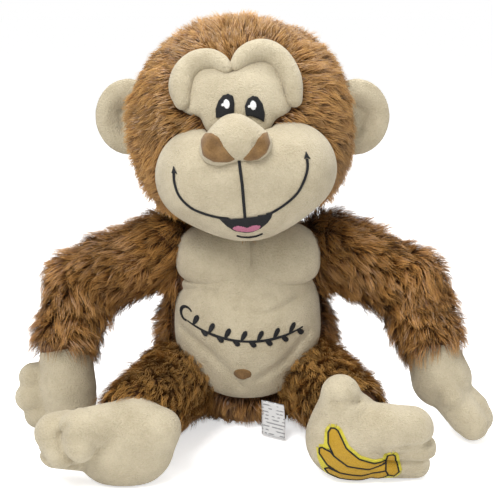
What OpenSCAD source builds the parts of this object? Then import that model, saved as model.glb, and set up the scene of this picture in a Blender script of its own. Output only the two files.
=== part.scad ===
// Stuffed monkey, sitting, with sewn soft joints.
// It faces -Y, +Z is up, and its origin is on the floor under the seat.
// "left" and "right" are the toy's own: its left side is at +X.

/* [Head] */
// Width of the furry head
head_w = 162; // [150:1:170]
// Depth of the furry head, front to back
head_d = 136; // [126:1:146]
// Height of the furry crown
head_h = 146; // [138:1:152]
// Height of the head's centre above the floor
head_z = 225; // [221:1:230]
// Sideways lean of the face, in degrees
head_lean = 7; // [0:1:10]
// How far the ears stand out beyond their root
ear_reach = 27; // [20:1:32]
// Height of an ear
ear_h = 56; // [46:1:62]

/* [Torso] */
// Width of the torso at the belly
torso_w = 134; // [124:1:140]
// Depth of the torso at the belly
torso_d = 108; // [100:1:116]
// Height of the neck's centre above the floor
neck_z = 146; // [143:1:149]
// Radius of the neck
neck_r = 30; // [26:1:31]
// Radius of the flat seat panel
seat_r = 29; // [24:1:32]

/* [Arms] */
// Distance of a shoulder's centre from the middle
shoulder_x = 63; // [61:1:66]
// Height of the shoulders above the floor
shoulder_z = 128; // [125:1:131]
// Radius of an arm at the shoulder
shoulder_r = 25; // [22:1:26]
// Radius of an arm at the elbow
elbow_r = 24; // [21:1:25]
// Radius of an arm at the wrist
wrist_r = 22; // [19:1:23]
// Length from shoulder to elbow
upper_len = 66; // [62:1:72]
// Length from elbow to wrist
fore_len = 54; // [50:1:58]

/* [Legs] */
// Distance of a hip's centre from the middle
hip_x = 50; // [48:1:54]
// Height of the hips above the floor
hip_z = 35; // [34:1:38]
// Radius of a leg at the hip
hip_r = 31; // [28:1:32]
// Radius of a leg at the ankle
ankle_r = 26; // [23:1:27]
// Length of the left leg from hip to ankle
left_leg_len = 70; // [66:1:76]
// Length of the right leg from hip to ankle
right_leg_len = 78; // [72:1:84]

/* [Fabric] */
// Thickness of the long-pile cover, backing and pressed pile together
fur_wall = 4; // [3:0.5:5]
// Thickness of the short-pile cream fabric
plush_wall = 2; // [1.5:0.5:3]
// Gap between a cover and what fills it
slack = 0.4; // [0.3:0.1:0.6]
// Free space round a ball-shaped limb root, which holds its ring of stitches
seam_gap = 3; // [2.5:0.5:3.5]
// Radius of the seam thread
thread_r = 0.7; // [0.5:0.1:0.9]

/* [Hidden] */

LEFT = 1;
RIGHT = -1;
smooth = 64;

fur = "sienna";
cream = "wheat";
fill = "white";
thread = "black";

function index(side) = side == LEFT ? 0 : 1;

// A direction: yaw turns from sideways towards the front, drop is below the horizon.
function toward(side, yaw, drop) =
    [side * cos(drop) * cos(yaw), -cos(drop) * sin(yaw), -sin(drop)];

// [yaw, drop] of the upper arm, the forearm and the hand, for the left and the right arm.
arm_angles = [[[13, 22], [62, 56], [36, 52]], [[12, 22], [69, 57], [30, 66]]];
// [yaw, drop] of each leg.
leg_angles = [[75, -4], [72, -2]];
leg_lengths = [left_leg_len, right_leg_len];

function arm_dir(side, n) =
    toward(side, arm_angles[index(side)][n][0], arm_angles[index(side)][n][1]);
function leg_dir(side) = toward(side, leg_angles[index(side)][0], leg_angles[index(side)][1]);
function shoulder(side) = [side * shoulder_x, 2, shoulder_z];
function elbow(side) = shoulder(side) + upper_len * arm_dir(side, 0);
function wrist(side) = elbow(side) + fore_len * arm_dir(side, 1);
function hip(side) = [side * hip_x, -28, hip_z];
function ankle(side) = hip(side) + leg_lengths[index(side)] * leg_dir(side);

neck = [-1, 0, neck_z];
head = [-5, 0, head_z];

module ball(at, r) translate(at) sphere(r = r, $fn = smooth);

// An ellipsoid of half sizes r.
module egg(at, r) translate(at) scale(r) sphere(r = 1, $fn = smooth);

// Stands its children's z axis along the direction d.
module along(at, d) translate(at) rotate([0, acos(d[2] / norm(d)), atan2(d[1], d[0])]) children();

// A ball whose pole points along d, for a cup that opens that way.
module cup(at, r, d) along(at, d) sphere(r = r, $fn = smooth);

// A tapered tube with round ends, from a to b.
module taper(a, ra, b, rb) {
    l = norm(b - a);
    s = (ra - rb) / l;
    c = sqrt(1 - s * s);
    along(a, b - a) rotate_extrude($fn = smooth) intersection() {
        union() {
            circle(r = ra, $fn = smooth);
            translate([0, l]) circle(r = rb, $fn = smooth);
            polygon([[0, ra * s], [ra * c, ra * s], [rb * c, l + rb * s], [0, l + rb * s]]);
        }
        translate([0, -ra]) square([ra + rb, l + ra + rb]);
    }
}

// A ring of thread on a ball-shaped root of radius r, some degrees behind its widest circle.
module thread_ring(at, d, r, behind = 0) color(thread) along(at, d)
    translate([0, 0, -r * sin(behind)]) rotate_extrude($fn = smooth)
        translate([r * cos(behind), 0]) circle(r = thread_r, $fn = 24);

// Pushes an outline in x and z through the front of the toy.
module through_front() rotate([90, 0, 0]) linear_extrude(150) children();

// A line of the given width along points, as one closed outline.
function side_step(points, i) = let (
    a = points[max(i - 1, 0)],
    b = points[min(i + 1, len(points) - 1)],
    d = (b - a) / norm(b - a)
) [-d[1], d[0]];
module line_outline(points, width) {
    n = len(points);
    polygon(concat(
        [for (i = [0:n - 1]) points[i] + width / 2 * side_step(points, i)],
        [for (i = [n - 1:-1:0]) points[i] - width / 2 * side_step(points, i)]
    ));
}

// ---------------------------------------------------------------- torso

torso_floor = 2; // the cover ends here, on the seat panel

// The pear-shaped torso, grown by g.
belly = [0, 2, 56];
belly_r = [torso_w / 2, torso_d / 2, 66];
module torso_shape(g = 0) intersection() {
    union() {
        egg(belly, belly_r + [g, g, g]);
        egg([0, 2, 110], [62 + g, 47 + g, 45 + g]);
    }
    translate([-150, -150, torso_floor - min(g, 0)]) cube([300, 300, 300]);
}

// Room for every limb root and its stitches.
torso_middle = [0, 2, 80];
hip_gap = seam_gap + 1.5;
module torso_sockets() {
    cup(neck, neck_r + seam_gap, neck - torso_middle);
    for (side = [LEFT, RIGHT]) {
        cup(shoulder(side), shoulder_r + seam_gap, shoulder(side) - torso_middle);
        cup(hip(side), hip_r + hip_gap, hip(side) - torso_middle);
    }
}

// The outline of the cream front, grown by g, and the fold between chest and belly.
front_fold = 112;
chest_seam = 2; // x of the seam between the chest pads
module front_outline(g = 0) {
    translate([-1, 74]) scale([1, 1.1]) circle(r = 50 + g, $fn = 72);
    translate([-50 - g, 90]) square([98 + 2 * g, 60 + g]);
}
module above_fold() translate([-100, front_fold + 0.2]) square(200);
module below_fold() translate([-100, front_fold - 200.2]) square([200, 200]);

module torso_cover() color(fur) difference() {
    torso_shape();
    torso_shape(-fur_wall);
    torso_sockets();
    through_front() front_outline(slack);
}

bag_r = [27, 22, 11];
bag_at = [0, 14, 22];
module bean_bag(g = 0) color("lightgray") egg(bag_at, bag_r + [g, g, g]);

// The filling lies on the bead bag and stops short of the neck and shoulders.
module torso_stuffing() color(fill) let (wall = fur_wall + slack) difference() {
    intersection() {
        egg(belly, belly_r - [wall, wall, wall]);
        translate([-100, -100, bag_at[2]]) cube([200, 200, 110 - bag_at[2]]);
    }
    for (side = [LEFT, RIGHT]) translate([side * hip_x, hip_r + hip_gap - 28, hip_z])
        rotate([90, 0, 0]) cylinder(r = hip_r + hip_gap, h = 100, $fn = smooth);
    bean_bag(slack);
}

// A flat bottom panel closes the torso and gives it something to sit on.
module seat_panel() color(fur) translate([0, 2, 0])
    cylinder(r = seat_r, h = torso_floor - slack, $fn = smooth);

// Cream fabric over the front, a little proud of the fur backing.
module front_skin() difference() {
    torso_shape(1);
    torso_shape(-fur_wall);
    torso_sockets();
}

module chest_panel(side) color(cream) intersection() {
    front_skin();
    through_front() intersection() {
        front_outline();
        above_fold();
        translate([side == LEFT ? chest_seam + 0.2 : chest_seam - 100.2, 0]) square([100, 200]);
    }
}

navel = [-3, 53];
navel_r = 6;

module belly_panel() color(cream) difference() {
    intersection() {
        front_skin();
        through_front() intersection() {
            front_outline();
            below_fold();
        }
    }
    through_front() translate(navel) circle(r = navel_r + 0.3, $fn = 32);
}

module navel_patch() color("peru") intersection() {
    front_skin();
    through_front() translate(navel) circle(r = navel_r, $fn = 32);
}

// A curly embroidered line across the belly.
motif_w = 64;
motif_z = 80;
motif_steps = 40;
function motif_point(t) = [
    motif_w * (t - 0.5) - 3,
    motif_z - 7 * t + 4.5 * cos(1080 * t) * (1 - 0.5 * t),
];
module belly_motif() color(thread) intersection() {
    difference() {
        torso_shape(1.8);
        torso_shape(1.1);
    }
    through_front()
        line_outline([for (i = [0:motif_steps]) motif_point(i / motif_steps)], 2.4);
}

// The sewn-in label hangs from the seam beside the left leg.
label_edge = [[9, -48.5], [25, -57.5]]; // its top edge, in x and y
label_top = 27;
label_h = 25;
label_t = 0.8;
module care_label() color("white") translate([label_edge[0][0], label_edge[0][1], label_top - label_h])
    rotate(atan2(label_edge[1][1] - label_edge[0][1], label_edge[1][0] - label_edge[0][0]))
        translate([0, -label_t, 0]) cube([norm(label_edge[1] - label_edge[0]), label_t, label_h]);

// ---------------------------------------------------------------- neck

module neck_stuffing() color(fill) ball(neck, neck_r);
module neck_stitching() thread_ring(neck, [0, 0, 1], neck_r + seam_gap / 2);

// ---------------------------------------------------------------- head

// The face leans with the head.
module on_face() translate(head) rotate([0, -head_lean, 0]) children();

// The furry head, grown by g: a crown and the jowls under it.
module head_shape(g = 0) {
    egg([0, 0, 0], [head_w / 2 + g, head_d / 2 + g, head_h / 2 + g]);
    egg([0, 2, -22], [77 + g, 60 + g, 46 + g]);
}

// An ear turns about its root, a roll of fabric at the side of the head.
ear_x = head_w / 2 - 1;
ear_root = 4.5;
module at_ear(side) translate(head) mirror([side == LEFT ? 1 : 0, 0, 0])
    translate([-ear_x, 6, 2]) children();
module ear_grooves() for (side = [LEFT, RIGHT]) at_ear(side)
    translate([0, 0, -ear_h / 2]) cylinder(r = ear_root + 1.2, h = ear_h, $fn = smooth);

module head_room() {
    ball(neck, neck_r + seam_gap);
    ear_grooves();
}

module head_cover() color(fur) difference() {
    on_face() difference() {
        head_shape();
        head_shape(-fur_wall);
    }
    head_room();
}

module head_stuffing() color(fill) difference() {
    on_face() head_shape(-fur_wall - slack);
    head_room();
}

// The muzzle, grown by g: two cheeks, the upper lip and the chin.
module muzzle_shape(g = 0) {
    for (side = [LEFT, RIGHT]) egg([side * 30, -58, -30], [31 + g, 34 + g, 32 + g]);
    egg([0, -62, -26], [36 + g, 38 + g, 28 + g]);
    egg([1, -56, -50], [32 + g, 32 + g, 26 + g]);
}

module muzzle_cover() color(cream) on_face() difference() {
    muzzle_shape();
    muzzle_shape(-plush_wall);
    head_shape(slack);
}

module muzzle_stuffing() color(fill) on_face() difference() {
    muzzle_shape(-plush_wall - slack);
    head_shape(slack);
}

// The layer between two heights over the front of the head.
module head_layer(low, high) intersection() {
    difference() {
        head_shape(high);
        head_shape(low);
    }
    translate([-60, -100, -20]) cube([120, 90, 80]);
}

forehead_t = 4;
muzzle_top = 3;
module forehead_outline() difference() {
    union() {
        for (x = [-24, 20]) translate([x, 26]) circle(r = 18, $fn = 40);
        translate([-2, 12]) circle(r = 30, $fn = 40);
    }
    translate([-60, muzzle_top - 100]) square([120, 100]);
}

module forehead_panel() color(cream) on_face() intersection() {
    head_layer(slack, forehead_t);
    through_front() forehead_outline();
}

// A brow is a padded roll that arches over the eye: [centre, radius, turn of its outer end].
brow_r = 8;
brow_lean = 22;
brow_yaw = 15;
brow_sweep = 185;
brow_arches = [[[22.5, -64, 29], 17, -25], [[-25, -64, 29], 17, -25]];
module brow(side) color(cream) on_face() let (arch = brow_arches[index(side)]) difference() {
    translate(arch[0]) rotate([90 - brow_lean, 0, side * brow_yaw])
        mirror([side == LEFT ? 0 : 1, 0, 0]) rotate(arch[2])
            rotate_extrude(angle = brow_sweep, $fn = smooth)
                translate([arch[1], 0]) circle(r = brow_r, $fn = smooth);
    head_shape(forehead_t + slack);
}

// The nose: a round pad between the eyes and the muzzle, grown by g.
module nose_shape(g = 0) {
    for (side = [LEFT, RIGHT]) egg([side * 11 - 3, -86, -8], [12 + g, 15 + g, 11 + g]);
    egg([-3, -82, -3], [15 + g, 18 + g, 14 + g]);
}
module nostril_shape(side, g = 0) egg([side * 16 - 3, -98, -12], [8 + g, 7 + g, 7 + g]);

module nose_pad() color(cream) on_face() difference() {
    nose_shape();
    muzzle_shape(slack);
    head_shape(forehead_t + slack);
    for (side = [LEFT, RIGHT]) nostril_shape(side, 0.3);
}
module nostril(side) color("peru") on_face() intersection() {
    nostril_shape(side);
    difference() {
        nose_shape(0.5);
        muzzle_shape(slack);
    }
}

// Embroidery lies on the forehead or the muzzle as a raised pad of thread.
eye_x = 11.5;
eye_z = 17;
module eye_outline() {
    circle(r = 5.5, $fn = 32);
    translate([-5.5, -8]) square([11, 8]);
}
module eye(side) color(thread) on_face() difference() {
    intersection() {
        head_layer(forehead_t + 0.2, forehead_t + 1);
        through_front() translate([side * eye_x - 3, eye_z]) eye_outline();
    }
    nose_shape(slack);
}
module eye_glints() color(fill) on_face() for (side = [LEFT, RIGHT]) intersection() {
    head_layer(forehead_t + 1.2, forehead_t + 1.7);
    through_front() translate([side * (eye_x - 1) - 3, eye_z]) circle(r = 2.4, $fn = 24);
}

// The layer between two heights over the muzzle.
module muzzle_layer(low = 0.3, high = 1.1) difference() {
    muzzle_shape(high);
    muzzle_shape(low);
    translate([-100, -60, -100]) cube([200, 100, 200]);
}

smile_r = [46, 36];
smile_centre = [0, -22];
mouth_half = 18; // half of the angle that the open mouth takes from the smile
function smile_point(a) = smile_centre + [smile_r[0] * sin(a), -smile_r[1] * cos(a)];
module smile_line() color(thread) on_face() for (side = [LEFT, RIGHT]) intersection() {
    muzzle_layer();
    through_front()
        line_outline([for (a = [mouth_half + 2:6:86]) smile_point(side * a)], 1.5);
}
module philtrum_line() color(thread) on_face() difference() {
    intersection() {
        muzzle_layer();
        through_front() line_outline([[-3, -18], [-1, smile_centre[1] - smile_r[1] + 3]], 2);
    }
    nose_shape(slack);
}
mouth_drop = 13;
module mouth_outline() polygon(concat(
    [for (a = [-mouth_half:4:mouth_half]) smile_point(a)],
    [for (a = [75:-15:-75]) let (p = smile_point(mouth_half * sin(a)))
        [p[0], p[1] - mouth_drop * cos(a)]]
));
tongue = [0, smile_centre[1] - smile_r[1] - 7];
module tongue_outline(g = 0) translate(tongue) scale([1.6, 1]) circle(r = 4 + g, $fn = 32);
module mouth_patch() color(thread) on_face() intersection() {
    muzzle_layer();
    through_front() difference() {
        mouth_outline();
        tongue_outline(slack);
    }
}
module tongue_patch() color("orchid") on_face() intersection() {
    muzzle_layer();
    through_front() tongue_outline();
}
module chin_line() color(thread) on_face() intersection() {
    muzzle_layer();
    through_front() line_outline([for (a = [-60:12:60])
        tongue + [12 * sin(a), -6 - 4 * cos(a)]], 1.5);
}

// An ear: a padded round flap with a dished front, which turns about its inner edge.
ear_flap = [(ear_reach + 1.5) / 2, 5.2, ear_h / 2];
module ear(side) color(cream) at_ear(side) difference() {
    egg([ear_flap[0] - ear_reach, 0, 0], ear_flap);
    cup([-14, -29, 0], 26, [0, 1, 0]);
}

// ---------------------------------------------------------------- arms

module shoulder_stitching(side)
    thread_ring(shoulder(side), toward(side, arm_angles[index(side)][0][0], 5),
        shoulder_r + seam_gap / 2, 42);

module upper_arm_shape(side, g = 0)
    taper(shoulder(side), shoulder_r + g, elbow(side), elbow_r + g);

module upper_sleeve(side) color(fur) difference() {
    upper_arm_shape(side);
    upper_arm_shape(side, -fur_wall);
}
module upper_stuffing(side) color(fill) upper_arm_shape(side, -fur_wall - slack);

// The forearm cups the elbow and clears the upper arm when it is fully bent.
joint_gap = 1.2;
elbow_bend = 17;
fore_root = 21; // radius of the forearm where it cups the elbow
function elbow_axis(side) = cross(arm_dir(side, 0), arm_dir(side, 1));
module elbow_room(side) {
    cup(elbow(side), elbow_r + joint_gap, arm_dir(side, 1));
    translate(elbow(side)) rotate(-elbow_bend, elbow_axis(side)) along([0, 0, 0], -arm_dir(side, 0))
        cylinder(r = elbow_r + joint_gap + 1, h = upper_len, $fn = smooth);
}
module forearm_shape(side, g = 0)
    taper(elbow(side), fore_root + g, wrist(side), wrist_r + g);
module forearm_sleeve(side) color(fur) difference() {
    forearm_shape(side);
    forearm_shape(side, -fur_wall);
    elbow_room(side);
}
module forearm_stuffing(side) color(fill) difference() {
    forearm_shape(side, -fur_wall - slack);
    elbow_room(side);
}

// A mitten hand: a palm that cups the wrist, with a thumb and curled fingers.
function hand_point(side, reach, across) = let (
    d = arm_dir(side, 2),
    c = cross([0, -1, 0], d)
) wrist(side) + reach * d + across * c / norm(c);
palm_r = [21, 18];
finger_r = 10;
module palm_shape(side, g = 0)
    taper(hand_point(side, 12.6, 0), palm_r[0] + g, hand_point(side, 34, 0), palm_r[1] + g);
module hand(side) color(cream) difference() {
    union() {
        palm_shape(side);
        for (finger = [-10, 10]) ball(hand_point(side, 45, finger), finger_r);
    }
    palm_shape(side, -plush_wall);
    cup(wrist(side), wrist_r + joint_gap, arm_dir(side, 2));
}
module hand_stuffing(side) color(fill) difference() {
    palm_shape(side, -plush_wall - slack);
    cup(wrist(side), wrist_r + joint_gap, arm_dir(side, 2));
}

// ---------------------------------------------------------------- legs

module hip_stitching(side)
    thread_ring(hip(side), leg_dir(side), hip_r + seam_gap / 2, 30);

module leg_shape(side, g = 0) taper(hip(side), hip_r + g, ankle(side), ankle_r + g);
module leg_sleeve(side) color(fur) difference() {
    leg_shape(side);
    leg_shape(side, -fur_wall);
}
module leg_stuffing(side) color(fill) leg_shape(side, -fur_wall - slack);

// A foot stands on edge with its sole to the front: toes outwards, big toe up.
foot_turn = [4, 14];   // how far each foot is turned in the plane of its sole
foot_lift = [-4, -3];  // how far the middle of the sole is above the ankle
foot_y = -21;          // the foot's middle plane, in front of the ankle
foot_room = ankle_r + joint_gap;
sole_r = [34, 19]; // radius of the sole, and of its padded rim
toe_r = 12;
toe_ends = [[38, -17], [44, 0], [39, 16]];
big_toe_r = 14;
big_toe = [-11, 26];
module on_foot(side) translate(ankle(side) + [0, foot_y, foot_lift[index(side)]])
    rotate([0, side * -foot_turn[index(side)], 0]) mirror([side == LEFT ? 0 : 1, 0, 0]) children();

module foot_body(g = 0) translate([3, 0, 0]) rotate([90, 0, 0])
    rotate_extrude($fn = smooth) intersection() {
        union() {
            translate([sole_r[0] - sole_r[1], 0]) circle(r = sole_r[1] + g, $fn = smooth);
            translate([0, -sole_r[1] - g])
                square([sole_r[0] - sole_r[1], 2 * (sole_r[1] + g)]);
        }
        translate([0, -50]) square(100);
    }
module toes(g = 0) {
    ball([big_toe[0], 0, big_toe[1]], big_toe_r + g);
    for (toe = toe_ends) ball([toe[0], -1, toe[1]], toe_r + g);
}
module foot(side) color(cream) difference() {
    on_foot(side) difference() {
        union() {
            foot_body();
            toes();
        }
        foot_body(-plush_wall);
    }
    cup(ankle(side), foot_room, leg_dir(side));
}
module foot_stuffing(side) color(fill) difference() {
    on_foot(side) foot_body(-plush_wall - slack);
    cup(ankle(side), foot_room, leg_dir(side));
}

// The bunch of bananas sewn low on the left sole.
banana_t = 0.8;
function banana_low(t) = -27 + 24 * pow(1 - t, 2.2) + 10 * pow(t, 3);
function banana_high(t) = banana_low(t) + 4 + 12 * pow(sin(180 * t), 0.7);
function banana_x(t) = 49 * t - 27;
module banana_outline() polygon(concat(
    [for (t = [0:0.1:1]) [banana_x(t), banana_high(t)]],
    [for (t = [1:-0.1:0]) [banana_x(t), banana_low(t)]]
));
module banana_patch() color("gold") on_foot(LEFT) intersection() {
    difference() {
        foot_body(0.3 + banana_t);
        foot_body(0.3);
    }
    through_front() banana_outline();
}

torso_cover();
torso_stuffing();
bean_bag();
seat_panel();
chest_panel(LEFT);  // chest_panel_left
chest_panel(RIGHT);  // chest_panel_right
belly_panel();
navel_patch();
belly_motif();
care_label();
neck_stuffing();
neck_stitching();
head_cover();
head_stuffing();
forehead_panel();
brow(LEFT);  // brow_left
brow(RIGHT);  // brow_right
muzzle_cover();
muzzle_stuffing();
nose_pad();
nostril(LEFT);  // nostril_left
nostril(RIGHT);  // nostril_right
eye(LEFT);  // eye_left
eye(RIGHT);  // eye_right
eye_glints();
smile_line();
philtrum_line();
mouth_patch();
tongue_patch();
chin_line();
ear(LEFT);  // ear_left
ear(RIGHT);  // ear_right
shoulder_stitching(LEFT);  // shoulder_stitching_left
upper_sleeve(LEFT);  // upper_sleeve_left
upper_stuffing(LEFT);  // upper_stuffing_left
forearm_sleeve(LEFT);  // forearm_sleeve_left
forearm_stuffing(LEFT);  // forearm_stuffing_left
hand(LEFT);  // hand_left
hand_stuffing(LEFT);  // hand_stuffing_left
shoulder_stitching(RIGHT);  // shoulder_stitching_right
upper_sleeve(RIGHT);  // upper_sleeve_right
upper_stuffing(RIGHT);  // upper_stuffing_right
forearm_sleeve(RIGHT);  // forearm_sleeve_right
forearm_stuffing(RIGHT);  // forearm_stuffing_right
hand(RIGHT);  // hand_right
hand_stuffing(RIGHT);  // hand_stuffing_right
hip_stitching(LEFT);  // hip_stitching_left
leg_sleeve(LEFT);  // leg_sleeve_left
leg_stuffing(LEFT);  // leg_stuffing_left
foot(LEFT);  // foot_left
foot_stuffing(LEFT);  // foot_stuffing_left
banana_patch();
hip_stitching(RIGHT);  // hip_stitching_right
leg_sleeve(RIGHT);  // leg_sleeve_right
leg_stuffing(RIGHT);  // leg_stuffing_right
foot(RIGHT);  // foot_right
foot_stuffing(RIGHT);  // foot_stuffing_right
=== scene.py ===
# %% [markdown]
# # A sitting stuffed monkey
# The toy is sewn from two fabrics: a long brown pile for the body and a short cream nap for the face,
# belly, hands and feet. Each stuffed shape is modelled first as a smooth skin, then the pile is planted
# on it, and last come the embroidery and the care label. Everything is in metres in the frame of the
# CAD model, and the shapes are written in millimetres because a soft toy is small.

# %% Load the frame of the toy
import bpy, bmesh, math
import numpy as np
import openvdb
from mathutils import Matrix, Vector
from mathutils.bvhtree import BVHTree


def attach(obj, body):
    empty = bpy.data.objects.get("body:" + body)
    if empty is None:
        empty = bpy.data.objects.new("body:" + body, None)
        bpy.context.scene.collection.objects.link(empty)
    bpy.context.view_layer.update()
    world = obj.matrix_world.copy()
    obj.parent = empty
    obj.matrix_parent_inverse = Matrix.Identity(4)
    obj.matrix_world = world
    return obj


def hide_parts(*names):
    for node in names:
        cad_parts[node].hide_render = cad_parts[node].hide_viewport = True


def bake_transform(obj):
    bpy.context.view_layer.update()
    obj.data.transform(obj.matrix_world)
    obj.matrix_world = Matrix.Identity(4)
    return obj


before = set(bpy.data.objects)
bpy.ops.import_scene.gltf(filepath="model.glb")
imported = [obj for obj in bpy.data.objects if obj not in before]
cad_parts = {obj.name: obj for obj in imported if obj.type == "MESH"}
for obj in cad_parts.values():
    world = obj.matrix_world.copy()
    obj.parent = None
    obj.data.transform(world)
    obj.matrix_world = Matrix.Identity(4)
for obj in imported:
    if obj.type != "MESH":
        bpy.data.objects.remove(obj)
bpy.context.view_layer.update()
MM = 0.001
SIDES = {"left": 1, "right": -1}

# %% [markdown]
# The camera stands in front of the toy, 14 degrees above the horizon. Three large soft lights leave
# gentle shadows between the locks of fur. The plain pale floor comes last.

# %% Camera, floor and lights
AIM = Vector((0.0, -0.030, 0.1345))
RANGE, RISE = 0.68, math.radians(14)
camera = bpy.data.objects.new("camera", bpy.data.cameras.new("camera"))
bpy.context.collection.objects.link(camera)
look = Vector((0, -math.cos(RISE), math.sin(RISE)))
camera.location = AIM + look * RANGE
camera.rotation_euler = look.to_track_quat("Z", "Y").to_euler()
camera.data.lens, camera.data.sensor_width = 68, 36
bpy.context.scene.camera = camera


def lamp(name, place, size, watts, tint=(1, 1, 1)):
    light = bpy.data.lights.new(name, "AREA")
    light.size, light.energy, light.color = size, watts, tint
    obj = bpy.data.objects.new(name, light)
    bpy.context.collection.objects.link(obj)
    obj.location = place
    obj.rotation_euler = (Vector(place) - AIM).to_track_quat("Z", "Y").to_euler()


lamp("key", (-0.40, -0.75, 1.10), 0.5, 12.5)
lamp("fill", (0.9, -0.7, 0.45), 1.0, 2.5)
lamp("top", (0.1, 0.20, 1.25), 0.8, 13)
world = bpy.data.worlds.new("studio")
bpy.context.scene.world = world
world.use_nodes = True
# The camera sees a white room, and the toy is lit by a dimmer one, so its folds keep their shadows.
SEEN, GLOW = 1.0, 0.42
room = world.node_tree.nodes["Background"]
room.inputs["Color"].default_value = (1, 1, 1, 1)
ray = world.node_tree.nodes.new("ShaderNodeLightPath")
level = world.node_tree.nodes.new("ShaderNodeMapRange")
level.inputs["To Min"].default_value, level.inputs["To Max"].default_value = GLOW, SEEN
world.node_tree.links.new(ray.outputs["Is Camera Ray"], level.inputs["Value"])
world.node_tree.links.new(level.outputs["Result"], room.inputs["Strength"])
bpy.context.scene.view_settings.view_transform = "Standard"

# %% [markdown]
# Shader effects that several fabrics share are node groups. One gives the soft blotches that a nap
# shows where it has been brushed, and its grain; the other is the fine twist of thread.


# %% Helpers that lay out nodes
def put(tree, kind, inputs=None, **settings):
    node = tree.nodes.new(kind)
    for key, value in settings.items():
        setattr(node, key, value)
    for key, value in (inputs or {}).items():
        if isinstance(value, bpy.types.NodeSocket):
            tree.links.new(value, node.inputs[key])
        else:
            node.inputs[key].default_value = value
    return node


def sockets(tree, ins, outs):
    """Names each input and output of a group; gives its input node, output node and identifiers."""
    ids = {}
    for name, kind, value in ins:
        s = tree.interface.new_socket(name, in_out="INPUT", socket_type=kind)
        if value is not None:
            s.default_value = value
        ids[name] = s.identifier
    for name, kind in outs:
        tree.interface.new_socket(name, in_out="OUTPUT", socket_type=kind)
    return tree.nodes.new("NodeGroupInput"), tree.nodes.new("NodeGroupOutput"), ids


def vec(tree, op, a, b=None, scale=None):
    """One step of vector arithmetic."""
    ins = {0: a}
    if b is not None:
        ins[1] = b
    if scale is not None:
        ins["Scale"] = scale
    node = put(tree, "ShaderNodeVectorMath", ins, operation=op)
    return node.outputs["Value" if op in ("DOT_PRODUCT", "LENGTH") else "Vector"]


def num(tree, op, a, b=None):
    """One step of arithmetic on numbers."""
    ins = {0: a}
    if b is not None:
        ins[1] = b
    return put(tree, "ShaderNodeMath", ins, operation=op).outputs[0]


# %% Shared effect: brushed nap
nap = bpy.data.node_groups.new("brushed nap", "ShaderNodeTree")
gin, gout, _ = sockets(
    nap,
    [("Blotch Size", "NodeSocketFloat", 60.0), ("Grain Size", "NodeSocketFloat", 900.0)],
    [("Shade", "NodeSocketFloat"), ("Height", "NodeSocketFloat")],
)
where = put(nap, "ShaderNodeTexCoord").outputs["Object"]
blotch = put(nap, "ShaderNodeTexNoise",
             {"Vector": where, "Scale": gin.outputs["Blotch Size"], "Detail": 4.0, "Roughness": 0.6})
grain = put(nap, "ShaderNodeTexNoise",
            {"Vector": where, "Scale": gin.outputs["Grain Size"], "Detail": 2.0, "Roughness": 0.7})
shade = num(nap, "ADD", num(nap, "MULTIPLY", blotch.outputs[0], 0.62),
            num(nap, "MULTIPLY", grain.outputs[0], 0.38))
nap.links.new(shade, gout.inputs["Shade"])
height = num(nap, "ADD", num(nap, "MULTIPLY", blotch.outputs[0], 0.35), grain.outputs[0])
nap.links.new(height, gout.inputs["Height"])

# %% Shared effect: twisted thread
twist = bpy.data.node_groups.new("twisted thread", "ShaderNodeTree")
gin, gout, _ = sockets(twist, [("Pitch", "NodeSocketFloat", 900.0)],
                       [("Shade", "NodeSocketFloat"), ("Height", "NodeSocketFloat")])
where = put(twist, "ShaderNodeTexCoord").outputs["Object"]
ply = put(twist, "ShaderNodeTexWave", {"Vector": where, "Scale": gin.outputs["Pitch"], "Distortion": 2.0},
          bands_direction="DIAGONAL")
fuzz = put(twist, "ShaderNodeTexNoise", {"Vector": where, "Scale": 700.0, "Detail": 2.0})
twist.links.new(num(twist, "ADD", num(twist, "MULTIPLY", ply.outputs["Fac"], 0.5),
                    num(twist, "MULTIPLY", fuzz.outputs[0], 0.5)), gout.inputs["Shade"])
twist.links.new(ply.outputs["Fac"], gout.inputs["Height"])

# %% [markdown]
# Each finish keeps its own Principled shader. A fabric lightens along its nap and darkens in its
# blotches, so its colour runs between two ends; sheen is a plain number on the shader.


# %% A fabric or thread finish
def finish(name, dark, light, rough, sheen, effect, bump, reach, **sizes):
    """effect's Shade runs the colour from dark to light, and its Height drives the bump."""
    mat = bpy.data.materials.new(name)
    mat.use_nodes = True
    tree = mat.node_tree
    shader = tree.nodes["Principled BSDF"]
    made = put(tree, "ShaderNodeGroup", node_tree=effect)
    for key, value in sizes.items():
        made.inputs[key.replace("_", " ")].default_value = value
    ramp = put(tree, "ShaderNodeValToRGB", {0: made.outputs["Shade"]})
    ramp.color_ramp.elements[0].position, ramp.color_ramp.elements[0].color = 0.3, (*dark, 1)
    ramp.color_ramp.elements[1].position, ramp.color_ramp.elements[1].color = 0.7, (*light, 1)
    tree.links.new(ramp.outputs[0], shader.inputs["Base Color"])
    bumped = put(tree, "ShaderNodeBump",
                 {"Strength": bump, "Distance": reach, "Height": made.outputs["Height"]})
    tree.links.new(bumped.outputs[0], shader.inputs["Normal"])
    shader.inputs["Roughness"].default_value = rough
    shader.inputs["Sheen Weight"].default_value = sheen
    shader.inputs["Sheen Roughness"].default_value = 0.5
    shader.inputs["Specular IOR Level"].default_value = 0.3
    mat.diffuse_color = (*light, 1)
    return mat


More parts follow.
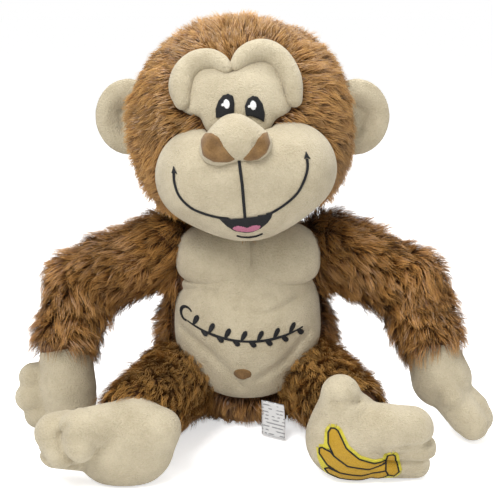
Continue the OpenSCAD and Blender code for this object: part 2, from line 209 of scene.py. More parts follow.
CREAM = finish("cream nap", (0.40, 0.335, 0.22), (0.60, 0.525, 0.375), 0.92, 0.2, nap, 1.0, 0.0014,
               Blotch_Size=55, Grain_Size=850)
TAN = finish("tan nap", (0.11, 0.055, 0.018), (0.27, 0.155, 0.058), 0.9, 0.15, nap, 0.6, 0.0007,
             Blotch_Size=160, Grain_Size=900)
# The backing is painted dark brown as the shade that falls between the blades of pile.
PILE_SHADE_BACKING = finish("backing dark as pile shade", (0.05, 0.02, 0.007), (0.16, 0.07, 0.025), 0.95, 0.1, nap, 0.8, 0.0012,
                 Blotch_Size=120, Grain_Size=500)
BLACK = finish("black thread", (0.006, 0.006, 0.007), (0.018, 0.018, 0.02), 0.55, 0.0, twist, 0.4, 0.0002)
WHITE = finish("white thread", (0.75, 0.75, 0.75), (0.92, 0.92, 0.92), 0.45, 0.1, twist, 0.4, 0.0002)
PINK = finish("pink thread", (0.36, 0.10, 0.17), (0.52, 0.19, 0.28), 0.45, 0.1, twist, 0.4, 0.0002)
GOLD = finish("golden thread", (0.38, 0.21, 0.008), (0.58, 0.36, 0.025), 0.42, 0.1, twist, 0.4, 0.0002)
LEMON = finish("lemon thread", (0.50, 0.42, 0.02), (0.70, 0.62, 0.07), 0.42, 0.1, twist, 0.4, 0.0002)
SEAM = finish("brown sewing thread", (0.07, 0.03, 0.01), (0.2, 0.09, 0.03), 0.6, 0.1, twist, 0.6, 0.0003)
print(len(bpy.data.materials), "finishes so far")

# %% [markdown]
# Fur is coloured along each blade: a dark root that is painted shade deep in the pile, a warm middle
# and a golden tip that is partly the pile's own colour and partly a painted highlight.
# The blades carry that as an attribute, and each lock has its own shade, which keeps the coat lively.


# %% A fur finish
def fur_finish(name, root, middle, tip):
    mat = bpy.data.materials.new(name)
    mat.use_nodes = True
    tree = mat.node_tree
    shader = tree.nodes["Principled BSDF"]
    along = put(tree, "ShaderNodeAttribute", attribute_name="along").outputs["Fac"]
    lock = put(tree, "ShaderNodeAttribute", attribute_name="lock").outputs["Fac"]
    ramp = put(tree, "ShaderNodeValToRGB", {0: along})
    ends = ramp.color_ramp.elements
    # the root colour is painted shade, and the tip colour is partly a painted highlight
    ends[0].position, ends[0].color = 0.05, (*root, 1)
    ends[1].position, ends[1].color = 0.95, (*tip, 1)
    mid = ends.new(0.5)
    mid.color = (*middle, 1)
    where = put(tree, "ShaderNodeTexCoord").outputs["Object"]
    patch = put(tree, "ShaderNodeTexNoise", {"Vector": where, "Scale": 28.0, "Detail": 3.0}).outputs[0]
    lift = num(tree, "ADD", num(tree, "MULTIPLY", lock, 0.5), num(tree, "MULTIPLY", patch, 1.0))
    value = num(tree, "ADD", lift, 0.25)
    dyed = put(tree, "ShaderNodeHueSaturation", {"Value": value, "Color": ramp.outputs[0]})
    tree.links.new(dyed.outputs[0], shader.inputs["Base Color"])
    shader.inputs["Roughness"].default_value = 0.36
    shader.inputs["Specular IOR Level"].default_value = 0.4
    shader.inputs["Sheen Weight"].default_value = 0.06
    shader.inputs["Sheen Tint"].default_value = (1.0, 0.72, 0.38, 1)
    mat.diffuse_color = (*middle, 1)
    return mat


# The torso, neck and arm pile is darker than the head's as painted shade for parts under the head and between
# the arms; the head pile is partly a lit copy, and a little more golden of its own.
FUR = fur_finish("brown pile", (0.030, 0.011, 0.003), (0.165, 0.067, 0.016), (0.43, 0.22, 0.062))
FUR_HEAD = fur_finish("light brown pile", (0.06, 0.024, 0.006), (0.25, 0.115, 0.030), (0.46, 0.255, 0.080))
FUR_LEG = fur_finish("golden brown pile", (0.07, 0.028, 0.006), (0.27, 0.120, 0.026), (0.46, 0.25, 0.068))

# %% [markdown]
# Stuffed shapes are blends of round forms, and a field of distances is the plainest way to blend them:
# each form tells how far a point is outside it, and a soft minimum joins forms with a fillet. OpenVDB
# turns the zero level of the field into a closed mesh of quads.


# %% Round forms, joined softly
def egg(at, radii):
    """A ball with three radii; gives its distance field in millimetres."""
    at, radii = np.asarray(at, float), np.asarray(radii, float)

    def field(p):
        q = (p - at) / radii
        k0 = np.linalg.norm(q, axis=-1)
        k1 = np.linalg.norm(q / radii, axis=-1)
        return k0 * (k0 - 1) / np.maximum(k1, 1e-6)
    return field


def limb(path, radii):
    """A round limb along a few points, with a radius at each."""
    path = [np.asarray(p, float) for p in path]

    def field(p):
        best = None
        for a, b, ra, rb in zip(path, path[1:], radii, radii[1:]):
            t = np.clip(((p - a) @ (b - a)) / ((b - a) @ (b - a)), 0, 1)
            d = np.linalg.norm(p - a - t[..., None] * (b - a), axis=-1) - (ra + t * (rb - ra))
            best = d if best is None else np.minimum(best, d)
        return best
    return field


def blend_fields(a, b, k):
    h = np.maximum(k - np.abs(a - b), 0) / k
    return np.minimum(a, b) - h * h * k / 4


def join(k, *forms):
    def field(p):
        d = forms[0](p)
        for f in forms[1:]:
            d = blend_fields(d, f(p), k)
        return d
    return field


def keep(k, form, *limits):
    def field(p):
        d = -form(p)
        for f in limits:
            d = blend_fields(d, -f(p), k)
        return -d
    return field


def carve(k, form, tool):
    return lambda p: -blend_fields(-form(p), tool(p), k)


def grow(form, g):
    return lambda p: form(p) - g


def crease(form, depth, width, *paths):
    """Presses lines, drawn from the front, into a form, as folds and pulled seams do."""
    paths = [limb([(x, 0, z) for x, z in path], [0] * len(path)) for path in paths]

    def field(p):
        flat = p * (1.0, 0.0, 1.0)
        away = np.minimum.reduce([path(flat) for path in paths])
        return form(p) + depth * np.exp(-(away / width) ** 2)
    return field


# %% From a field to a mesh
def skin(name, field, low, high, size, material):
    """A closed mesh of the field's zero level, with quads of about the given size."""
    axes = [np.arange(a - 3 * size, b + 4 * size, size) for a, b in zip(low, high)]
    grid = np.stack(np.meshgrid(*axes, indexing="ij"), -1)
    values = field(grid).astype(np.float32)
    vdb = openvdb.FloatGrid(float(size * 3))
    vdb.copyFromArray(values)
    points, quads = vdb.convertToQuads(isovalue=0.0)
    points = points * size + np.array([a[0] for a in axes])
    mesh = bpy.data.meshes.new(name)
    mesh.from_pydata((points * MM).tolist(), [], quads[:, ::-1].tolist())
    bm = bmesh.new()
    bm.from_mesh(mesh)
    bmesh.ops.smooth_vert(bm, verts=bm.verts, factor=0.5, use_axis_x=True, use_axis_y=True, use_axis_z=True)
    bmesh.ops.recalc_face_normals(bm, faces=bm.faces)
    if bm.calc_volume(signed=True) < 0:
        bmesh.ops.reverse_faces(bm, faces=bm.faces)
    bm.to_mesh(mesh)
    bm.free()
    mesh.shade_smooth()
    mesh.materials.append(material)
    obj = bpy.data.objects.new(name, mesh)
    bpy.context.collection.objects.link(obj)
    print(f"{name}: {len(quads)} quads")
    return obj


def corners(obj):
    co = np.empty(len(obj.data.vertices) * 3, np.float32)
    obj.data.vertices.foreach_get("co", co)
    return co.reshape(-1, 3) / MM


def place(obj, body, slot, *nodes, fill=None):
    """Puts a finished piece on its body, in place of the CAD nodes it stands for."""
    if body:
        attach(obj, body)
    if nodes:
        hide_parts(*nodes)
    return obj


# %% [markdown]
# The face leans 7 degrees, so its forms are written upright in their own frame and turned as one. The
# joints of the arms and legs are where the CAD model has them.

# %% Where the head, arms and legs are
HEAD = np.array([-5.0, 0.0, 225.0])
LEAN = math.radians(-7)
TURN = np.array([[math.cos(LEAN), 0, math.sin(LEAN)], [0, 1, 0], [-math.sin(LEAN), 0, math.cos(LEAN)]])


def on_face(form):
    return lambda p: form((p - HEAD) @ TURN)


def face_point(p):
    return TURN @ np.asarray(p, float) + HEAD


def toward(side, yaw, drop):
    y, d = math.radians(yaw), math.radians(drop)
    return np.array([side * math.cos(d) * math.cos(y), -math.cos(d) * math.sin(y), -math.sin(d)])


ARM_TURNS = {"left": [(13, 22), (62, 56), (36, 52)], "right": [(12, 22), (69, 57), (30, 66)]}
LEG_TURNS = {"left": (75, -4), "right": (72, -2)}
LEG_LENGTH = {"left": 70, "right": 78}
FOOT_LIFT = {"left": -4, "right": -3}
joints = {}
for side, s in SIDES.items():
    ways = [toward(s, *turn) for turn in ARM_TURNS[side]]
    shoulder = np.array([s * 63.0, 2, 128])
    elbow = shoulder + 66 * ways[0]
    wrist = elbow + 54 * ways[1]
    hip = np.array([s * 50.0, -28, 35])
    shin = toward(s, *LEG_TURNS[side])
    joints[side] = {"shoulder": shoulder, "elbow": elbow, "wrist": wrist, "ways": ways, "hip": hip,
                    "ankle": hip + LEG_LENGTH[side] * shin, "shin": shin}
    print(side, "wrist", wrist.round(1), "ankle", joints[side]["ankle"].round(1))

# %% [markdown]
# The torso is a pear of fur with a flat seat. Its front is a puffy cream belly under two chest pads,
# and the folds between them are where the panels are sewn down.

# %% Torso, belly and chest forms
torso_form = join(14, egg((0, 2, 56), (63.5, 50.5, 62)), egg((0, 2, 110), (58.5, 43.5, 42)))
FLOOR_GAP = 1.2          # the backing stays this far above the floor, for the pile under it


def floor_cut(p):
    return FLOOR_GAP - p[..., 2]


torso_skin = keep(2, torso_form, floor_cut)


def front_shape(outline):
    """Keeps what is in front of the middle of the body and inside an outline drawn from the front."""
    return lambda p: np.maximum(outline(p), p[..., 1] + 8)


def rounded(cx, cz, half_x, half_z, power=2.6):
    """An outline between an oval and a box."""
    def field(p):
        x, z = np.abs((p[..., 0] - cx) / half_x), np.abs((p[..., 2] - cz) / half_z)
        return (np.power(x ** power + z ** power, 1 / power) - 1) * min(half_x, half_z)
    return field


belly_form = keep(8, grow(join(20, torso_form, egg((0, -16, 72), (46, 43, 48))), 3.4),
                  front_shape(rounded(1, 80, 55, 54, 2.3)))
belly_form = crease(belly_form, 2.2, 2.2, [(-54, 101), (-40, 106), (-22, 108)],
                    [(-12, 107), (4, 103), (20, 105)], [(-10, 97), (14, 94), (36, 101)])
belly_form = crease(belly_form, 2.0, 3.0, [(-46, 78), (-26, 66), (-10, 50), (-4, 40)],
                    [(44, 76), (26, 58), (8, 46)])
belly_form = crease(belly_form, 1.0, 1.6, [(0, 56), (0.5, 44)])
CHEST_MID, CHEST_HALF = {"left": 24.6, "right": 26.6}, {"left": 27.6, "right": 29.6}
chest_forms = {
    side: keep(7, join(16, grow(torso_form, 4.4), egg((3 + s * 24, -20, 127), (28, 24, 24))),
               front_shape(rounded(3 + s * CHEST_MID[side], 136, CHEST_HALF[side], 26, 4.5)))
    for side, s in SIDES.items()}

# %% Make the torso pieces
torso = skin("torso_backing", torso_skin, (-66, -53, 0), (66, 56, 154), 3.0, PILE_SHADE_BACKING)
belly = skin("belly_front", belly_form, (-56, -66, 14), (54, -4, 126), 1.8, CREAM)
chest = {side: skin(f"chest_pad_{side}", chest_forms[side], (-52, -52, 106), (54, 0, 158), 1.8, CREAM)
         for side in SIDES}

# %% [markdown]
# The head is a wide pear too. The cheeks, lip and chin make the muzzle; two rolls arch over the eyes
# and a layer of cream fabric lies between them.

# %% Head and face forms
head_form = join(12, egg((0, 0, 0), (77, 64.5, 69)), egg((0, 2, -22), (74.5, 57, 43)),
                 egg((1, -4, -38), (67, 54, 34)))
muzzle_form = join(
    13, egg((29.5, -57, -31), (33, 34, 32)), egg((-28.5, -57, -29), (32, 34, 33)),
    egg((0, -62, -26), (34, 36, 27)), egg((1, -56, -50), (38, 33, 27)))
nose_form = join(9, egg((8, -86, -8), (12.5, 15, 11)), egg((-14, -86, -8), (12.5, 15, 11)),
                 egg((-3, -83, -2), (15, 18, 15)))
nose_hollows = join(1, egg((-16.5, -103, -5), (5.5, 6, 5)), egg((12, -103, -8), (4.5, 6, 4.5)))
nose_form = carve(3, nose_form, nose_hollows)
EYE_ROUNDS = [(-20, 32, 16), (20, 30, 17), (1, 13, 25), (-29, 22, 9.5), (29, 14, 9)]
eye_outline = join(6, *[(lambda p, x=x, z=z, r=r: np.hypot(p[..., 0] - x, p[..., 2] - z) - r)
                        for x, z, r in EYE_ROUNDS])
eye_form = keep(5, grow(join(12, head_form, egg((1, -48, 10), (30, 22, 30))), 2.4),
                lambda p: np.maximum(eye_outline(p), p[..., 1] + 20))


def head_front(x, z, form=head_form):
    """How far forward the head's front reaches at a place on the face."""
    ys = np.linspace(-110, 0, 221)
    line = np.stack([np.full_like(ys, x), ys, np.full_like(ys, z)], -1)
    return ys[np.argmax(form(line) < 0)]


BROWS = {
    "left": ([(38.8, 15), (38.5, 26.7), (34.5, 38.3), (27.3, 45.8), (18.9, 48.3), (9.9, 46.3), (3.2, 41.5)],
             [5.6, 7.2, 7.6, 8.2, 8.2, 7.2, 4.6]),
    "right": ([(-35, 22.5), (-35.4, 31.5), (-31.6, 40.4), (-23.8, 46.4), (-14.6, 47.4), (-7.6, 44.6),
               (-3.4, 40.5)], [5.8, 8, 8.2, 7.6, 7.2, 6.2, 4.4])}


def smooth_through(values, at):
    """A cubic that runs through evenly spaced values, read at the given steps."""
    v = np.concatenate([[2 * values[0] - values[1]], values, [2 * values[-1] - values[-2]]])
    i = np.minimum(at.astype(int), len(values) - 2)
    t, a, b, c, d = at - i, v[i], v[i + 1], v[i + 2], v[i + 3]
    bend, turn = 2 * a - 5 * b + 4 * c - d, 3 * b - a - 3 * c + d
    return 0.5 * (2 * b + (c - a) * t + bend * t ** 2 + turn * t ** 3)


def brow_form(side):
    """A roll that starts beside the eye, arches over it and comes down to the middle."""
    path, thick = BROWS[side]
    at = np.linspace(0, len(path) - 1, 25)
    x, z, r = [smooth_through(values, at) for values in (*zip(*path), thick)]
    return limb([(i, head_front(i, k) - 5.8, k) for i, k in zip(x, z)], r)


brow_forms = {side: brow_form(side) for side in SIDES}

# %% Make the face pieces
head = skin("head_backing", on_face(head_form), (-90, -70, 150), (80, 70, 300), 3.0, PILE_SHADE_BACKING)
muzzle_shape = keep(3, muzzle_form, lambda p: p[..., 1] + 22)
muzzle = skin("muzzle", on_face(carve(3, muzzle_shape, grow(eye_form, 0.2))),
              (-80, -105, 138), (72, -14, 238), 1.7, CREAM)
eye_panel = skin("eye_panel", on_face(eye_form), (-66, -90, 190), (56, -14, 282), 1.7, CREAM)
nose = skin("nose", on_face(keep(2, nose_form, lambda p: p[..., 1] + 66)),
            (-40, -110, 198), (34, -60, 250), 1.3, CREAM)
brows = {side: skin(f"brow_roll_{side}", on_face(brow_forms[side]), (-70, -96, 220), (64, -14, 292),
                    1.5, CREAM) for side in SIDES}


# %% [markdown]
# The ears are flat rounds of cream fabric with a shallow cup in front.

# %% Ears
def ear_form(s):
    at = np.array([80.0 if s > 0 else -86.0, 6, 226])
    flap = egg(at, (25, 7, 28))
    cup = egg(at + (s * 2.0, -9.0, -1), (14, 8.5, 17))
    root = limb([at - (s * 16, 0, 12), at - (s * 16, 0, -12)], [9, 9])
    dished = carve(4, join(8, flap, root), cup)
    fold = [at[[0, 2]] + shift for shift in ((-s * 8, 12), (s * 6, 3), (s * 4, -9))]
    return crease(dished, 2.2, 2.5, fold)


ears = {side: skin(f"ear_flap_{side}", ear_form(s), (-116, -8, 195) if s < 0 else (46, -8, 195),
                   (-56, 20, 260) if s < 0 else (106, 20, 260), 1.4, CREAM) for side, s in SIDES.items()}


# %% [markdown]
# An arm is one sleeve of fur from shoulder to wrist, which bends at the elbow, and a mitten hand with
# curled fingers. A leg is a short sleeve, and a foot stands on its edge with the sole to the front.

# %% Arm, leg, hand and foot forms
HANDS = {
    "left": ([((137, -40, 57), 19.5), ((142, -43.5, 42), 22)],
             [[((149, -44, 33), 13), ((163, -50, 20), 13.5), ((167, -53, 15), 12)],
              [((147, -54, 31), 13), ((158, -61, 18), 12.5), ((162, -63, 14), 11.5)],
              [((140, -57, 44), 10), ((146, -62, 34), 9)]]),
    "right": ([((-132, -38, 57), 19), ((-131, -43, 34), 21), ((-130, -44, 26), 20)],
              [[((-142, -40, 42), 11), ((-156, -42, 42), 10.5)],
               [((-142, -44, 30), 12), ((-158, -46, 28), 11)],
               [((-140, -44, 20), 12), ((-152, -46, 15), 11)]])}


def lobes(rows):
    """One limb for each row of places and radii."""
    return [limb([at for at, _ in row], [r for _, r in row]) for row in rows]


def hand_form(side):
    palm, fingers = HANDS[side]
    return join(1.8, *lobes([palm]), *lobes(fingers))


FEET = {
    "left": (egg((1, 0, -9), (30, 17, 27)),
             [[((4, 0, 2), 16), ((24, -8, 3), 16), ((39, -6, 2.5), 14.5)],
              [((24, -3, -10), 12), ((44.5, -3, -12.5), 12)],
              [((20, -1, -22), 12), ((43, 2, -26), 11)], [((-6, 2, 0), 19), ((-7, -1, 24), 13)]]),
    "right": (egg((6, 0, -9), (33, 17, 29)),
              [[((14, -3, 8), 14), ((32, -13, 9), 13), ((31, -19, -1), 9.5)],
               [((34, -2, 4), 14), ((49, -7, 4), 13), ((44, -14, -7), 10)],
               [((34, 0, -12), 13), ((50, 1, -12), 12)], [((-8, 1, 2), 16), ((-19, -2, 5), 13)]])}


def foot_point(side, p):
    """From the flat frame of a sole, with x outwards, to the toy."""
    return np.asarray(p, float) * (SIDES[side], 1, 1) + joints[side]["ankle"] + (0, -21, FOOT_LIFT[side])


TOE_FOLDS = {
    "left": [[(-13, 23), (-3, 23.5), (4, 21)], [(25, -5), (37, -4.5), (52, -5)],
             [(22, -17.5), (36, -18), (52, -19)]],
    "right": [[(38, 15), (44.5, 5.5), (43, -2), (39, -7), (31, -12.5), (29.5, -22)],
              [(61, -12), (46, -18.5), (36, -17.5), (31, -12.5)]]}


def foot_form(side):
    sole, toes = FEET[side]
    at = joints[side]["ankle"] + (0, -21, FOOT_LIFT[side])
    toe_forms = lobes(toes)
    local = join(1.2, join(9, sole, toe_forms[3], limb([(0, 6, 2), (0, 16, 4)], [20, 17])), *toe_forms[:3])
    local = crease(local, 2.6, 1.7, *TOE_FOLDS[side])
    return lambda p: local((p - at) * (SIDES[side], 1, 1))


# Filling gathers on the inner side of a sleeve, below the elbow.
INNER = {"left": (-15.0, -2.0, -2.0), "right": (6.0, 0.0, -4.0)}
sleeve_forms = {side: join(8, limb([j["shoulder"], j["elbow"]], [24, 21.5]),
                           limb([j["elbow"], j["wrist"]], [20, 17.5]),
                           limb([j["elbow"] + INNER[side], j["wrist"] + (0, 0, 16)], [16, 14]))
                for side, j in joints.items()}
leg_forms = {side: limb([j["hip"], j["ankle"]], [26.5, 22]) for side, j in joints.items()}


# %% Make the limbs
def around(points, margin):
    points = np.array(points)
    return points.min(0) - margin, points.max(0) + margin


sleeves, legs, hands, feet = {}, {}, {}, {}
for side, j in joints.items():
    low, high = around([j["shoulder"], j["elbow"], j["wrist"]], 26)
    sleeves[side] = skin(f"arm_backing_{side}", sleeve_forms[side], low, high, 2.8, PILE_SHADE_BACKING)
    low, high = around([j["hip"], j["ankle"]], 30)
    legs[side] = skin(f"leg_backing_{side}", keep(2, leg_forms[side], floor_cut), low, high, 2.8, PILE_SHADE_BACKING)
    low, high = around([at for row in [HANDS[side][0], *HANDS[side][1]] for at, _ in row], 26)
    hands[side] = skin(f"mitten_{side}", keep(2, hand_form(side), floor_cut), low, high, 1.6, CREAM)
    low, high = around([j["ankle"] + (0, -21, 0)], 66)
    feet[side] = skin(f"sole_{side}", keep(2, foot_form(side), floor_cut), low, high, 1.8, CREAM)
neck = skin("neck_backing", egg((-1, 0, 146), (31, 31, 26)), (-34, -34, 116), (34, 34, 176), 3.0, PILE_SHADE_BACKING)

# %% [markdown]
# Pile grows where no other piece covers the backing. Each corner of the backing gets two facts for the
# fur: how thick the pile is there, from the distance to the pieces over it, and which way it is
# combed. The pile lies down and away from the face, down the body, and along each limb.


# %% Comb the pile
def comb(obj, ways, covers, bare=()):
    """ways(points, normals) gives the direction; pile thins to nothing inside covers."""
    p = corners(obj)
    n = np.empty(len(p) * 3, np.float32)
    obj.data.vertex_normals.foreach_get("vector", n)
    n = n.reshape(-1, 3)
    way = ways(p, n)
    way = way - (way * n).sum(-1, keepdims=True) * n
    way /= np.maximum(np.linalg.norm(way, axis=-1, keepdims=True), 1e-6)
    thick = np.ones(len(p))
    for cover, clear in covers:
        thick = np.minimum(thick, np.clip((cover(p) - clear + 1.0) / 2.0, 0, 1))
    ways_kept = obj.data.attributes.new("comb", "FLOAT_VECTOR", "POINT")
    ways_kept.data.foreach_set("vector", way.ravel().astype(np.float32))
    pile_kept = obj.data.attributes.new("pile", "FLOAT", "POINT")
    pile_kept.data.foreach_set("value", thick.astype(np.float32))


def from_face(p, n):
    way = p - face_point((0, -60, 0))
    way = way / np.linalg.norm(way, axis=-1, keepdims=True)
    return way * (1.0, 1.0, 0.8) + np.array([0, 0.25, -0.75])


def down(p, n):
    return np.stack([p[:, 0] * 0.006, np.zeros(len(p)), -np.ones(len(p))], -1)


comb(head, from_face, [(on_face(muzzle_shape), 0.5), (on_face(eye_form), 0.5),
                       *[(on_face(b), 0.5) for b in brow_forms.values()]])
comb(torso, down, [(belly_form, 1.0), *[(c, 0.5) for c in chest_forms.values()],
                   (egg((0, 2, -3), (44, 40, 10)), 0)])
comb(neck, down, [(torso_form, -2), (on_face(head_form), -2), *[(c, 1) for c in chest_forms.values()]])
CUFF = 4.0               # the pile stops this far above the wrist
for side, j in joints.items():
    first, second = j["ways"][0], j["ways"][1]

    def along_arm(p, n):
        t = np.clip(((p - j["elbow"]) @ (first + second)) / 30 + 0.5, 0, 1)[:, None]
        return first * (1 - t) + second * t + np.array([0, 0, -0.35])
    def past_cuff(p):
        return -((p - j["wrist"]) @ second) - CUFF
    comb(sleeves[side], along_arm, [(torso_form, -9), (past_cuff, 0)])
    comb(legs[side], lambda p, n: j["shin"] + np.array([0, 0, -0.4]),
         [(torso_form, -9), (egg(j["ankle"] + 13 * j["shin"], (18, 18, 18)), 0)])

# %% [markdown]
# The pile itself is a Geometry Nodes tree. Points are scattered on the backing, and each becomes a
# narrow ribbon that rises off the fabric, bends over along the comb direction and leans to the middle
# of its lock, which is what gives long pile its clumps. The tree takes the sizes as named inputs.

# %% Build the pile tree
pile = bpy.data.node_groups.new("long pile", "GeometryNodeTree")
gin, gout, PILE = sockets(pile, [
    ("Backing", "NodeSocketGeometry", None), ("Blades per m2", "NodeSocketFloat", 1.0e6),
    ("Length", "NodeSocketFloat", 0.013), ("Width", "NodeSocketFloat", 0.0005),
    ("Lock Size", "NodeSocketFloat", 0.006), ("Gather", "NodeSocketFloat", 0.6),
    ("Lie", "NodeSocketFloat", 0.8), ("Swirl", "NodeSocketFloat", 2.2), ("Bends", "NodeSocketInt", 4),
    ("Seed", "NodeSocketInt", 1), ("Finish", "NodeSocketMaterial", None)], [("Pile", "NodeSocketGeometry")])
g = gin.outputs


def named(tree, name, kind="FLOAT"):
    return put(tree, "GeometryNodeInputNamedAttribute", {"Name": name}, data_type=kind).outputs["Attribute"]


def chance(tree, kind, seed, low, high):
    node = put(tree, "FunctionNodeRandomValue", {"Seed": seed}, data_type=kind)
    a, b, out = (0, 1, 0) if kind == "FLOAT_VECTOR" else (2, 3, 1)
    node.inputs[a].default_value, node.inputs[b].default_value = low, high
    return node.outputs[out]


thick = named(pile, "pile")
roots = put(pile, "GeometryNodeDistributePointsOnFaces", {
    "Mesh": g["Backing"], "Density": num(pile, "MULTIPLY", g["Blades per m2"], thick), "Seed": g["Seed"]})
locks = put(pile, "GeometryNodeDistributePointsOnFaces", {
    "Mesh": g["Backing"], "Seed": num(pile, "ADD", g["Seed"], 7.0),
    "Density": num(pile, "DIVIDE", 1.0, num(pile, "MULTIPLY", g["Lock Size"], g["Lock Size"]))})
position = put(pile, "GeometryNodeInputPosition").outputs[0]
nearest = put(pile, "GeometryNodeSampleNearest", {"Geometry": locks.outputs["Points"]},
              domain="POINT").outputs[0]


def from_lock(value, kind):
    return put(pile, "GeometryNodeSampleIndex", {
        "Geometry": locks.outputs["Points"], "Value": value, "Index": nearest},
        data_type=kind, domain="POINT").outputs[0]


ones = (1.0, 1.0, 1.0)
lock_middle = from_lock(position, "FLOAT_VECTOR")
lock_lean = from_lock(chance(pile, "FLOAT_VECTOR", 11, (-1.0, -1.0, -1.0), ones), "FLOAT_VECTOR")
lock_shade = from_lock(chance(pile, "FLOAT", 12, 0.0, 1.0), "FLOAT")
normal = roots.outputs["Normal"]
combed = named(pile, "comb", "FLOAT_VECTOR")
own_lean = chance(pile, "FLOAT_VECTOR", 13, (-1.0, -1.0, -1.0), ones)
long = num(pile, "MULTIPLY", g["Length"], num(pile, "ADD", num(pile, "MULTIPLY", lock_shade, 0.35),
                                              chance(pile, "FLOAT", 14, 0.6, 1.0)))
drift = put(pile, "ShaderNodeTexNoise", {"Vector": position, "Scale": 38.0, "Detail": 1.0}).outputs["Color"]
drift = vec(pile, "SCALE", vec(pile, "SUBTRACT", drift, (0.5, 0.5, 0.5)), scale=g["Swirl"])
lying = vec(pile, "SCALE", vec(pile, "ADD", combed, drift), scale=g["Lie"])
reach = vec(pile, "ADD", vec(pile, "SCALE", normal, scale=0.62), lying)
reach = vec(pile, "ADD", reach, vec(pile, "SCALE", lock_lean, scale=0.30))
reach = vec(pile, "ADD", reach, vec(pile, "SCALE", own_lean, scale=0.13))
reach = vec(pile, "SCALE", vec(pile, "NORMALIZE", reach), scale=long)
gather = vec(pile, "SCALE", vec(pile, "SUBTRACT", lock_middle, position), scale=g["Gather"])
tip = vec(pile, "ADD", vec(pile, "ADD", position, reach), gather)
knee = vec(pile, "ADD", position, vec(pile, "SCALE", normal, scale=num(pile, "MULTIPLY", long, 0.5)))
knee = vec(pile, "ADD", knee, vec(pile, "SCALE", gather, scale=0.25))
aside = vec(pile, "CROSS_PRODUCT", vec(pile, "SUBTRACT", tip, position),
            vec(pile, "ADD", normal, vec(pile, "SCALE", own_lean, scale=0.5)))
aside = vec(pile, "SCALE", vec(pile, "NORMALIZE", aside), scale=num(pile, "MULTIPLY", g["Width"], 0.5))


def store(tree, geometry, name, value, kind="FLOAT"):
    return put(tree, "GeometryNodeStoreNamedAttribute", {"Geometry": geometry, "Name": name, "Value": value},
               data_type=kind, domain="POINT").outputs[0]


points = roots.outputs["Points"]
for name, value in (("root", position), ("knee", knee), ("end", tip), ("aside", aside)):
    points = store(pile, points, name, value, "FLOAT_VECTOR")
points = store(pile, points, "lock", lock_shade)
ribbon = put(pile, "GeometryNodeMeshGrid",
             {"Size X": 2.0, "Size Y": 1.0, "Vertices X": 2, "Vertices Y": g["Bends"]})
split = put(pile, "ShaderNodeSeparateXYZ", {0: position})
blade = store(pile, ribbon.outputs["Mesh"], "along", num(pile, "ADD", split.outputs[1], 0.5))
blade = store(pile, blade, "edge", split.outputs[0])
planted = put(pile, "GeometryNodeInstanceOnPoints", {"Points": points, "Instance": blade}).outputs[0]
grown = put(pile, "GeometryNodeRealizeInstances", {"Geometry": planted}).outputs[0]
t = named(pile, "along")
u = num(pile, "SUBTRACT", 1.0, t)
bow = vec(pile, "SCALE", named(pile, "root", "FLOAT_VECTOR"), scale=num(pile, "MULTIPLY", u, u))
bow = vec(pile, "ADD", bow, vec(pile, "SCALE", named(pile, "knee", "FLOAT_VECTOR"),
                                scale=num(pile, "MULTIPLY", num(pile, "MULTIPLY", u, t), 2.0)))
bow = vec(pile, "ADD", bow, vec(pile, "SCALE", named(pile, "end", "FLOAT_VECTOR"),
                                scale=num(pile, "MULTIPLY", t, t)))
taper = num(pile, "ADD", num(pile, "MULTIPLY", num(pile, "POWER", u, 0.7), 0.85), 0.15)
bow = vec(pile, "ADD", bow, vec(pile, "SCALE", named(pile, "aside", "FLOAT_VECTOR"),
                                scale=num(pile, "MULTIPLY", named(pile, "edge"), taper)))
bow = vec(pile, "MAXIMUM", bow, (-9.0, -9.0, 0.0006))
shaped = put(pile, "GeometryNodeSetPosition", {"Geometry": grown, "Position": bow}).outputs[0]
for name in ("root", "knee", "end", "aside", "edge", "comb", "pile"):
    shaped = put(pile, "GeometryNodeRemoveAttribute", {"Geometry": shaped, "Name": name}).outputs[0]
shaped = put(pile, "GeometryNodeSetShadeSmooth", {"Geometry": shaped}).outputs[0]
shaped = put(pile, "GeometryNodeSetMaterial", {"Geometry": shaped, "Material": g["Finish"]}).outputs[0]
pile.links.new(shaped, gout.inputs["Pile"])


# %% Plant a coat on a backing
def run_tree(name, source, tree, ids, values):
    """The result of a tree on a copy of the source, as a plain mesh without the modifier."""
    obj = bpy.data.objects.new(name, source.data.copy())
    bpy.context.collection.objects.link(obj)
    modifier = obj.modifiers.new("grow", "NODES")
    modifier.node_group = tree
    for key, value in values.items():
        modifier[ids[key]] = value
    bpy.context.view_layer.update()
    result = bpy.data.meshes.new_from_object(obj.evaluated_get(bpy.context.evaluated_depsgraph_get()))
    obj.modifiers.remove(modifier)
    obj.data = result
    result.name = name
    print(f"{name}: {len(result.polygons)} faces")
    return obj


def bend_at_elbow(obj):
    """Bakes the sleeve's placement into its mesh; nothing bends it at the elbow."""
    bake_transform(obj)


def coat(name, backing, finish_of, seed, density=0.62, length=13.5, width=0.62, lock=6.0, gather=0.6,
         lie=0.8, swirl=2.2, bends=4):
    return run_tree(name, backing, pile, PILE, {
        "Blades per m2": density * 1e6, "Length": length * MM, "Width": width * MM, "Lock Size": lock * MM,
        "Gather": gather, "Lie": lie, "Swirl": swirl, "Bends": bends, "Seed": seed, "Finish": finish_of})


